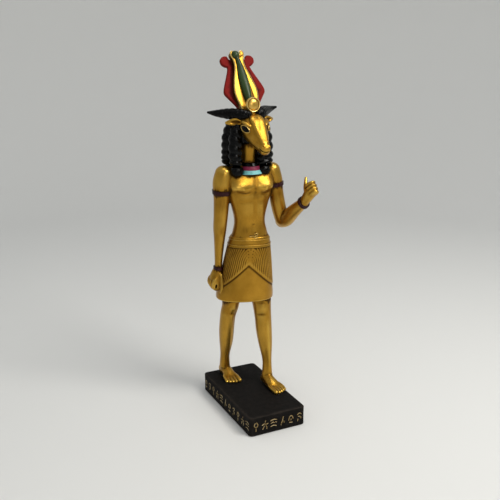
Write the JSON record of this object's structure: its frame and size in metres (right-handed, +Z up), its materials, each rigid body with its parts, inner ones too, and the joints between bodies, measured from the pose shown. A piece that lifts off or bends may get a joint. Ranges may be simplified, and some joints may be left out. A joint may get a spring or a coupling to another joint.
{
  "type": "egyptian god figurine",
  "caption": "Striding ram-headed god with a raised fist, ribbed wig, ram's horns and tall plumed crown, on a rectangular plinth with a row of signs.",
  "frame": {"origin": "centre of the plinth's underside", "axes": "+Z up, the figure looks along -Y, its right hand is towards -X"},
  "size_m": [0.0678, 0.091, 0.2801],
  "materials": {
    "gold_figure": "cast resin with satin gold paint, gloss black wig and horns, red plumes",
    "black_plinth": "cast resin with matt black paint and dull gold signs"
  },
  "bodies": {
    "root": {"figure": "gold_figure", "plinth": "black_plinth"}
  },
  "joints": []
}
